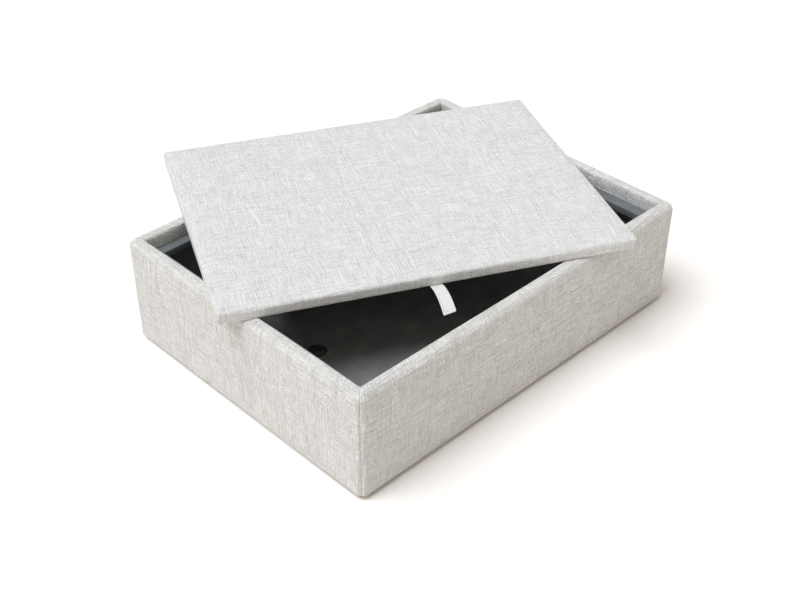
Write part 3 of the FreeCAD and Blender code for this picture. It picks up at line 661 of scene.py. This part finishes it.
def wall_shell(name, side, inset, hem, inner_foot, thickness, sewn):
    """One wall of the padding or its cover, from corner seam to corner seam, as a closed shell."""
    size = sizes()
    along = HALF_LENGTH if side % 2 == 0 else HALF_WIDTH
    points = wall_section(inset, hem, inner_foot)
    lengths = running_lengths(points)
    normals = section_normals(points)
    straight = 2 * (along - size.corner_radius)
    stations = wall_stations(straight)
    corner_arc = size.corner_radius * math.radians(45)
    reach = [corner_arc * share if zone == -1 else corner_arc + straight * share if zone == 0
             else 2 * corner_arc + straight - corner_arc * share for zone, share in stations]
    total = 2 * corner_arc + straight
    shift = WALL_CLOTH_SHIFT * side

    def place(column, row):
        depth, height = points[row]
        radius = size.corner_radius + (size.nook_radius - size.corner_radius) * depth / size.wall
        spot, outward = ring_point(HALF_LENGTH - depth, HALF_WIDTH - depth, radius, side, stations[column])
        from_seam = min(reach[column], total - reach[column])
        share = (height - COVER_LOW.z) / (COVER_HIGH.z - COVER_LOW.z)
        swell = size.crown * math.sin(math.pi * min(1, max(0, share))) * min(1, from_seam / CROWN_EASE)
        where = Vector((spot.x, spot.y, height))
        swell += lumps(where, WALL_LUMPS)
        if sewn:
            swell -= size.seam_depth * math.exp(-(from_seam / SEAM_WIDTH) ** 2)
            swell += GATHER_HEIGHT * math.exp(-from_seam / GATHER_REACH) * noise.noise(where * GATHER_WAVES)
        inward, upward = normals[row]
        spot = spot - outward * (inward * swell)
        return Vector((spot.x, spot.y, height + upward * swell))

    def lay(column, row):
        return reach[column] + shift, lengths[row] + 0.7 * shift

    piece = cloth_grid(name, len(stations) - 1, len(points) - 1, place, lay)
    if sewn:
        held_rows = {row for row, (depth, height) in enumerate(points)
                     if height < COVER_LOW.z + HELD_NEAR or height > COVER_HIGH.z - HELD_NEAR
                     or (depth > size.wall - HELD_NEAR and height < LEDGE_HIGH.z + BAND_HELD)}
        seams = (0, len(stations) - 1)
        settle(piece, [index for index in range(len(piece.data.vertices))
                       if index % len(stations) in seams or index // len(stations) in held_rows], size.wall_swell)
    apply_modifier(piece, "SOLIDIFY", "Cloth thickness", thickness=thickness, offset=-1.0)
    smooth(piece, 60)
    return piece


def settle(piece, held, reach):
    """Let a cover swell over its padding in a short cloth simulation, with some points held and the rest kept close."""
    scene = bpy.context.scene
    before = [(vertex.co.copy(), vertex.normal.copy()) for vertex in piece.data.vertices]
    group = piece.vertex_groups.new(name="Held down")
    group.add(held, 1.0, "REPLACE")
    make_active(piece)
    bpy.ops.object.modifier_add(type="CLOTH")
    cloth = piece.modifiers[-1]
    cloth.settings.vertex_group_mass = group.name
    cloth.settings.use_pressure = True
    cloth.settings.uniform_pressure_force = PADDING_PRESSURE
    cloth.settings.effector_weights.gravity = 0.0
    cloth.settings.tension_stiffness = 30.0
    cloth.settings.compression_stiffness = 30.0
    cloth.settings.shear_stiffness = 15.0
    cloth.settings.bending_stiffness = 1.0
    cloth.settings.air_damping = 4.0
    cloth.point_cache.frame_start = 1
    cloth.point_cache.frame_end = SETTLE_FRAMES
    for frame_number in range(1, SETTLE_FRAMES + 1):
        scene.frame_set(frame_number)
    bpy.ops.object.modifier_apply(modifier=cloth.name)
    scene.frame_set(1)
    for vertex, (was, outward) in zip(piece.data.vertices, before):
        rise = max(0.0, (vertex.co - was).dot(outward))
        vertex.co = was + outward * (reach * math.tanh(rise / reach))
    piece.vertex_groups.clear()
    piece.data.update()


def bevelled_block(name, low, high, radius, segments=3):
    """A block between two corners with its edges rounded over."""
    clear_selection()
    middle = (Vector(low) + Vector(high)) / 2
    bpy.ops.mesh.primitive_cube_add(size=1.0, location=middle, scale=Vector(high) - Vector(low))
    piece = named(name)
    apply_place(piece)
    bpy.ops.object.mode_set(mode="EDIT")
    bpy.ops.mesh.select_all(action="SELECT")
    bpy.ops.mesh.bevel(offset=radius, segments=segments, affect="EDGES", clamp_overlap=True)
    bpy.ops.object.mode_set(mode="OBJECT")
    smooth(piece)
    return piece


def upright_disc(name, radius, depth, middle, facets):
    """A short upright cylinder, for turning into a cap or a foot."""
    clear_selection()
    bpy.ops.mesh.primitive_cylinder_add(vertices=facets, radius=radius, depth=depth, location=middle)
    piece = named(name)
    apply_place(piece)
    return piece


def taut_cloth(name, low, high, divisions, height, thickness, pucker, waves, noise_height, turn):
    """A cloth stretched flat between two corners, faintly puckered along its edges, and put in place by turn."""
    columns, rows = divisions

    def place(column, row):
        x = low[0] + (high[0] - low[0]) * column / columns
        y = low[1] + (high[1] - low[1]) * row / rows
        from_edge = min(x - low[0], high[0] - x, y - low[1], high[1] - y)
        lift = pucker * noise.noise(Vector((x, y, noise_height)) * waves) * math.exp(-from_edge / PUCKER_REACH)
        return turn((x, y, height + lift))

    def lay(column, row):
        return (high[0] - low[0]) * column / columns, (high[1] - low[1]) * row / rows

    cloth = cloth_grid(name, columns, rows, place, lay)
    apply_modifier(cloth, "SOLIDIFY", "Cloth thickness", thickness=thickness, offset=1.0)
    smooth(cloth, 60)
    return cloth


def stitch_row(name, spots):
    """A row of short thread stitches, each a rounded bar from (place, direction, length, thickness)."""
    stitches = []
    for place, direction, length, thickness in spots:
        clear_selection()
        bpy.ops.mesh.primitive_uv_sphere_add(segments=6, ring_count=4, radius=1.0, location=place)
        stitch = bpy.context.object
        stitch.rotation_mode = "QUATERNION"
        stitch.rotation_quaternion = Vector(direction).to_track_quat("Z", "Y")
        stitch.scale = (thickness / 2, thickness / 2, length / 2)
        stitches.append(stitch)
    clear_selection()
    for stitch in stitches:
        stitch.select_set(True)
    bpy.context.view_layer.objects.active = stitches[0]
    bpy.ops.object.join()
    row = named(name)
    apply_place(row)
    bpy.ops.object.shade_smooth()
    return row


def lid_to_box(point):
    """A point drawn about the lid's own middle, in the box's frame."""
    turned = LID_AXES @ Vector((point[0], point[1], 0))
    return Vector((LID_MIDDLE.x + turned.x, LID_MIDDLE.y + turned.y, point[2]))


def lid_half_sizes():
    """Half the lid's length and width."""
    size = sizes()
    drop = size.wall + size.lid_clearance
    return HALF_LENGTH - drop, HALF_WIDTH - drop


# ---------------------------------------------------------------- operators

class StorageBoxWallCovers(bpy.types.Operator):
    """Sew the four wall covers over the rim, with pulled-in corner seams"""

    bl_idname = "storage_box.wall_covers"
    bl_label = "Wall Covers"

    def execute(self, context):
        for index, side in enumerate(SIDES):
            cover = wall_shell(f"wall_cover_{side}", index, inset=0.0, hem=WALL_HEM,
                               inner_foot=LEDGE_HIGH.z + BAND_GAP, thickness=sizes().cloth, sewn=True)
            dress(cover, "linen", "linen_weave", "box", f"cover_{side}")
        return {"FINISHED"}


class StorageBoxWallPads(bpy.types.Operator):
    """Lay the foam pads under the wall covers"""

    bl_idname = "storage_box.wall_pads"
    bl_label = "Wall Pads"

    def execute(self, context):
        for index, side in enumerate(SIDES):
            pad = wall_shell(f"foam_pad_{side}", index, inset=sizes().cloth * PAD_DEPTH, hem=0.0,
                             inner_foot=LEDGE_HIGH.z + PAD_GAP, thickness=PAD_FOAM, sewn=False)
            dress(pad, "foam", "foam", "box", f"pad_{side}")
        return {"FINISHED"}


class StorageBoxCornerSeams(bpy.types.Operator):
    """Run a row of stitches down each upright corner seam"""

    bl_idname = "storage_box.corner_seams"
    bl_label = "Corner Seams"

    def execute(self, context):
        size = sizes()
        low = COVER_LOW.z + size.base_radius
        high = COVER_HIGH.z - size.rim_radius
        count = int((high - low) / size.stitch_pitch)
        for side in range(4):
            spot, outward = ring_point(HALF_LENGTH, HALF_WIDTH, size.corner_radius, side, (1, 0.0))
            spot = spot - outward * (size.seam_depth - STITCH_PROUD)
            spots = [(Vector((spot.x, spot.y, low + (index + 0.5) * size.stitch_pitch)), (0, 0, 1),
                      STITCH_LENGTH, STITCH_THICKNESS) for index in range(count)]
            row = stitch_row(f"corner_stitches_{SIDES[side]}", spots)
            dress(row, "thread", "linen_weave", "box")
        return {"FINISHED"}


class StorageBoxLidCushion(bpy.types.Operator):
    """Draw the lid's cover over its foam and board and turn it in underneath"""

    bl_idname = "storage_box.lid_cushion"
    bl_label = "Lid Cushion"

    def execute(self, context):
        size = sizes()
        half_a, half_b = lid_half_sizes()
        low, high = LID_LOW.z, LID_HIGH.z
        top, foot = size.lid_top_radius, size.lid_foot_radius
        points = section_line((size.hem, low), (foot, low), LID_HEM_STEP)
        points += arc_points((foot, low + foot), foot, 270, 180, 4)[:-1]
        points += section_line((0.0, low + foot), (0.0, high - top), RIM_STEP)
        points += arc_points((top, high - top), top, 180, 90, 6)[:-1]
        spacing = edge_spacing(2 * (half_b - top), LID_EDGE_STEP, LID_MIDDLE_STEP)
        inner = [share for share in spacing if share <= 0.5]
        points += [(top + 2 * (half_b - top) * share, high) for share in inner]
        points[-1] = (half_b, high)
        normals = section_normals(points)
        stations = [(side, station) for side in range(4)
                    for station in wall_stations(2 * (half_a if side % 2 == 0 else half_b))[:-1]]

        def place(column, row):
            depth, height = points[row]
            side, station = stations[column % len(stations)]
            radius = max(0.0, size.lid_corner_radius - depth)
            spot, outward = ring_point(half_a - depth, half_b - depth, radius, side, station)
            where = Vector((spot.x, spot.y, height))
            inward, upward = normals[row]
            on_top = max(0.0, min(1.0, (height - high + top) / top))
            swell = size.lid_crown * on_top * (1 - math.exp(-depth / LID_CROWN_EASE))
            swell += lumps(where, LID_LUMPS)
            if height < low + 0.5 * MM:
                swell = 0.0
            spot = spot - outward * (inward * swell)
            return lid_to_box((spot.x, spot.y, height + upward * swell))

        def lay(column, row):
            depth, height = points[row]
            side, station = stations[column % len(stations)]
            spot, outward = ring_point(half_a - depth, half_b - depth, max(0.0, size.lid_corner_radius - depth),
                                       side, station)
            fall = high - height
            return spot.x + outward.x * fall + LID_CLOTH_PLACE, spot.y + outward.y * fall + LID_CLOTH_PLACE

        cushion = cloth_grid("lid_cushion", len(stations), len(points) - 1, place, lay)
        make_active(cushion)
        bpy.ops.object.mode_set(mode="EDIT")
        bpy.ops.mesh.select_all(action="SELECT")
        bpy.ops.mesh.remove_doubles(threshold=0.02 * MM)
        bpy.ops.mesh.normals_make_consistent(inside=False)
        bpy.ops.object.mode_set(mode="OBJECT")
        settle(cushion, [vertex.index for vertex in cushion.data.vertices if vertex.co.z < low + foot], size.lid_swell)
        apply_modifier(cushion, "SOLIDIFY", "Cloth thickness", thickness=size.cloth, offset=-1.0)
        smooth(cushion, 50)
        dress(cushion, "lid_linen_painted_light", "linen_weave", "lid", "lid_cover")
        return {"FINISHED"}


class StorageBoxPullTab(bpy.types.Operator):
    """Sew the pull tab under the lid's edge, with a stitched border"""

    bl_idname = "storage_box.pull_tab"
    bl_label = "Pull Tab"

    def execute(self, context):
        size = sizes()
        half_width = lid_half_sizes()[1]
        hinge_z = TAB_HINGE["pos_m"][2]
        length = TAB_ROOT + size.tab_reach

        def centre_line(travel):
            """Reach in front of the lid and height of the tab's upper face, after a run of cloth."""
            if travel < TAB_ROOT:
                return travel - TAB_ROOT, hinge_z
            turned = size.tab_rise - (travel - TAB_ROOT) / size.tab_bend_radius
            reach = size.tab_bend_radius * (math.sin(size.tab_rise) - math.sin(turned))
            rise = size.tab_bend_radius * (math.cos(turned) - math.cos(size.tab_rise))
            return reach, hinge_z + rise

        def on_tab(offset, travel, lift=0.0):
            """A point over the tab's upper face, offset sideways from its middle."""
            reach, height = centre_line(travel)
            return lid_to_box((offset, -half_width - TAB_GAP - reach, height + lift))

        def place(column, row):
            travel = length * row / TAB_STEPS
            share = TAB_ACROSS[column]
            offset = share * size.tab_width
            lift = -TAB_EDGE_DROP if abs(share) == 0.5 else 0.0
            if travel < TAB_ROOT:
                lift -= TAB_ROOT_DROP
            lift += size.tab_twist * share * (max(0.0, travel - TAB_ROOT) / size.tab_reach) ** 2
            from_tip = length - travel
            if from_tip < TAB_TIP_ROUND and abs(share) > 0.4:
                offset *= 1 - TAB_TIP_TAPER * (1 - from_tip / TAB_TIP_ROUND) ** 2
            return on_tab(offset, travel, lift)

        def lay(column, row):
            u, v = TAB_CLOTH_PLACE
            return TAB_ACROSS[column] * size.tab_width + u, length * row / TAB_STEPS + v

        tab = cloth_grid("pull_tab_cloth", len(TAB_ACROSS) - 1, TAB_STEPS, place, lay)
        make_active(tab)
        bpy.ops.object.mode_set(mode="EDIT")
        bpy.ops.mesh.select_all(action="SELECT")
        bpy.ops.mesh.flip_normals()
        bpy.ops.object.mode_set(mode="OBJECT")
        apply_modifier(tab, "SOLIDIFY", "Two layers", thickness=size.tab_thickness, offset=-1.0)
        apply_modifier(tab, "BEVEL", "Soft edges", width=0.5 * MM, segments=2, limit_method="ANGLE")
        smooth(tab, 50)
        dress(tab, "tape", "linen_weave", None, "pull_tab", "tab_anchor")
        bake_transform(tab)

        spots = []
        border = size.tab_width / 2 - TAB_STITCH_INSET
        for side in (-1, 1):
            for index in range(int((size.tab_reach - TAB_STITCHES_SHORT) / TAB_STITCH_PITCH)):
                travel = TAB_ROOT + TAB_STITCHES_START + index * TAB_STITCH_PITCH
                start = on_tab(side * border, travel)
                ahead = on_tab(side * border, travel + 1 * MM)
                spots.append((start + Vector((0, 0, TAB_STITCH_LIFT)), ahead - start,
                              TAB_STITCH_LENGTH, TAB_STITCH_THICKNESS))
        sideways = lid_to_box((1, 0, 0)) - lid_to_box((0, 0, 0))
        for index in range(-2, 3):
            start = on_tab(index * TAB_STITCH_PITCH, length - TAB_STITCHES_TIP, TAB_STITCH_LIFT)
            spots.append((start, sideways, TAB_STITCH_LENGTH, TAB_STITCH_THICKNESS))
        dress(stitch_row("tab_stitches", spots), "thread", "linen_weave", "tab")
        return {"FINISHED"}


class StorageBoxLedges(bpy.types.Operator):
    """Shape the painted ledge rails with eased edges"""

    bl_idname = "storage_box.ledges"
    bl_label = "Ledges"

    def execute(self, context):
        for side in SIDES:
            low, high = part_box(f"ledge_{side}")
            rail = bevelled_block(f"ledge_rail_{side}", low, high, RAIL_EASE, 3)
            dress(rail, "paint", "ledge_grey", "box", f"ledge_{side}")
        return {"FINISHED"}


class StorageBoxLinings(bpy.types.Operator):
    """Lay the felt on the floor and walls of the box"""

    bl_idname = "storage_box.linings"
    bl_label = "Linings"

    def execute(self, context):
        for side in SIDES:
            low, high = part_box(f"wall_liner_{side}")
            felt = bevelled_block(f"wall_felt_{side}", low, high, WALL_FELT_EASE, 2)
            dress(felt, "felt", "dark_felt", "box", f"wall_liner_{side}")
        low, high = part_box("floor_liner")
        felt = bevelled_block("floor_felt", low, high, FLOOR_FELT_EASE, 2)
        dress(felt, "felt", "dark_felt", "box", "floor_liner")
        return {"FINISHED"}


class StorageBoxBoltCaps(bpy.types.Operator):
    """Turn the round black caps over the foot bolts"""

    bl_idname = "storage_box.bolt_caps"
    bl_label = "Bolt Caps"

    def execute(self, context):
        for side in ("left", "right"):
            low, high = (Vector(corner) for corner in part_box(f"bolt_cap_{side}"))
            middle = (low + high) / 2
            cap = upright_disc(f"cap_{side}", (high.x - low.x) / 2, CAP_SKIRT,
                               (middle.x, middle.y, low.z + CAP_SKIRT / 2), 56)
            bpy.ops.object.mode_set(mode="EDIT")
            bpy.ops.mesh.select_mode(type="FACE")
            bpy.ops.mesh.select_all(action="DESELECT")
            bpy.ops.object.mode_set(mode="OBJECT")
            top = max(cap.data.polygons, key=lambda face: face.center.z)
            top.select = True
            bpy.ops.object.mode_set(mode="EDIT")
            bpy.ops.mesh.inset(thickness=CAP_STEP)
            bpy.ops.mesh.extrude_region_move(TRANSFORM_OT_translate={"value": (0, 0, CAP_DOME)})
            bpy.ops.transform.resize(value=(CAP_TAPER, CAP_TAPER, 1), center_override=(middle.x, middle.y, high.z))
            for width, rise in CAP_RINGS:
                bpy.ops.mesh.inset(thickness=width)
                bpy.ops.transform.translate(value=(0, 0, rise))
            bpy.ops.object.mode_set(mode="OBJECT")
            apply_modifier(cap, "BEVEL", "Moulded edges", width=0.6 * MM, segments=3, limit_method="ANGLE",
                           angle_limit=math.radians(25))
            smooth(cap, 35)
            dress(cap, "cap_plastic", "black_plastic", "box", f"bolt_cap_{side}")
        return {"FINISHED"}


class StorageBoxUnderside(bpy.types.Operator):
    """Stretch the dust cover and the lid's backing, and turn the feet"""

    bl_idname = "storage_box.underside"
    bl_label = "Underside"

    def execute(self, context):
        low, high = (Vector(corner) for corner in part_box("dust_cover"))
        cover = taut_cloth("dust_cloth", low, high, divisions=(86, 66), height=low.z + 0.2 * MM, thickness=0.4 * MM,
                           pucker=0.3 * MM, waves=45, noise_height=0, turn=Vector)
        dress(cover, "cambric", "black_cambric", "box", "dust_cover")

        reach_a, reach_b = (half - BACKING_INSET for half in lid_half_sizes())
        backing_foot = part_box("lid_backing")[0][2]
        backing = taut_cloth("lid_backing_cloth", (-reach_a, -reach_b), (reach_a, reach_b), divisions=(80, 60),
                             height=backing_foot + 0.15 * MM, thickness=0.5 * MM, pucker=0.15 * MM, waves=40,
                             noise_height=3, turn=lid_to_box)
        dress(backing, "cambric", "black_cambric", "lid", "lid_backing")

        for side in ("left", "right"):
            low, high = (Vector(corner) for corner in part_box(f"centre_foot_{side}"))
            foot = upright_disc(f"foot_{side}", (high.x - low.x) / 2, high.z - low.z, (low + high) / 2, 48)
            apply_modifier(foot, "BEVEL", "Eased edges", width=FOOT_EASE, segments=3, limit_method="ANGLE")
            smooth(foot, 40)
            dress(foot, "cap_plastic", "black_plastic", "box", f"centre_foot_{side}")
        return {"FINISHED"}


class StorageBoxLidFoam(bpy.types.Operator):
    """Lay the foam slab on the lid's board"""

    bl_idname = "storage_box.lid_foam"
    bl_label = "Lid Foam"

    def execute(self, context):
        half_a, half_b = lid_half_sizes()
        low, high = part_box("lid_foam")
        foam = bevelled_block("lid_foam_slab", (-half_a + FOAM_INSET, -half_b + FOAM_INSET, low[2]),
                              (half_a - FOAM_INSET, half_b - FOAM_INSET, high[2] - FOAM_TOP_GAP), FOAM_EASE, 3)
        for vertex in foam.data.vertices:
            vertex.co = lid_to_box(vertex.co)
        dress(foam, "foam", "foam", "lid", "lid_foam")
        return {"FINISHED"}


class StorageBoxCarcass(bpy.types.Operator):
    """Give the boards, cleats, screws, bolts and staples their materials"""

    bl_idname = "storage_box.carcass"
    bl_label = "Carcass"

    def execute(self, context):
        finishes = {"plywood": "plywood", "pine": "pine", "zinc_steel": "zinc", "staple_steel": "staple",
                    "glide_nylon": "glide_plastic"}
        slots = {part["node"]: part["material_slot"] for part in frame["record"]["subparts"]}
        for name, piece in frame["nodes"].items():
            if slots[name] in finishes:
                piece.data.materials.clear()
                piece.data.materials.append(material_named(finishes[slots[name]]))
        return {"FINISHED"}


class StorageBoxStageSet(bpy.types.Operator):
    """Set up the pale floor, the soft light and the camera"""

    bl_idname = "storage_box.stage"
    bl_label = "Stage"

    def execute(self, context):
        stage = context.scene.storage_box_stage
        clear_selection()
        bpy.ops.mesh.primitive_plane_add(size=stage.floor_width, location=(0, 0, 0))
        floor = named("studio_floor")
        floor.data.materials.append(material_named("floor"))

        world = bpy.data.worlds.new("Studio")
        world.use_nodes = True
        background = world.node_tree.nodes["Background"]
        background.inputs["Color"].default_value = (*stage.sky_colour, 1.0)
        background.inputs["Strength"].default_value = stage.sky
        context.scene.world = world

        flat = math.cos(stage.key_height)
        towards = Vector((-flat * math.cos(stage.key_turn), flat * math.sin(stage.key_turn),
                          math.sin(stage.key_height)))
        bpy.ops.object.light_add(type="SUN", location=towards * 4)  # a sun shines the same from any distance
        key = context.object
        key.name = "key_light"
        key.data.energy = stage.key
        key.data.angle = stage.key_spread
        key.data.color = stage.key_colour
        key.rotation_mode = "QUATERNION"
        key.rotation_quaternion = (-towards).to_track_quat("-Z", "Y")

        bpy.ops.object.camera_add(location=stage.camera_place,
                                  rotation=(math.radians(90) - stage.camera_tilt, 0, stage.camera_turn))
        camera = context.object
        camera.data.lens = stage.lens
        camera.data.sensor_width = 36.0
        camera.data.clip_end = stage.sight
        context.scene.camera = camera
        context.scene.view_settings.view_transform = "Standard"
        return {"FINISHED"}


OPERATORS = (
    StorageBoxCarcass, StorageBoxWallPads, StorageBoxWallCovers, StorageBoxCornerSeams, StorageBoxLinings,
    StorageBoxLedges, StorageBoxBoltCaps, StorageBoxUnderside, StorageBoxLidFoam, StorageBoxLidCushion,
    StorageBoxPullTab, StorageBoxStageSet,
)
GROUPS = (
    ("storage_box_sizes", StorageBoxSizes), ("storage_box_colours", StorageBoxColours),
    ("storage_box_stage", StorageBoxStage),
)


class StorageBoxPanel(bpy.types.Panel):
    """Lists the steps that build the storage box"""

    bl_idname = "VIEW3D_PT_storage_box"
    bl_label = "Storage Box"
    bl_space_type = "VIEW_3D"
    bl_region_type = "UI"
    bl_category = "Storage Box"

    def draw(self, context):
        for operator in OPERATORS:
            self.layout.operator(operator.bl_idname)


def register():
    for name, group in GROUPS:
        bpy.utils.register_class(group)
        setattr(bpy.types.Scene, name, PointerProperty(type=group))
    for operator in OPERATORS:
        bpy.utils.register_class(operator)
    bpy.utils.register_class(StorageBoxPanel)


def unregister():
    bpy.utils.unregister_class(StorageBoxPanel)
    for operator in reversed(OPERATORS):
        bpy.utils.unregister_class(operator)
    for name, group in reversed(GROUPS):
        delattr(bpy.types.Scene, name)
        bpy.utils.unregister_class(group)


def main():
    """Build every piece in order."""
    register()
    for operator in OPERATORS:
        group, name = operator.bl_idname.split(".")
        getattr(getattr(bpy.ops, group), name)()


if __name__ == "__main__":
    main()
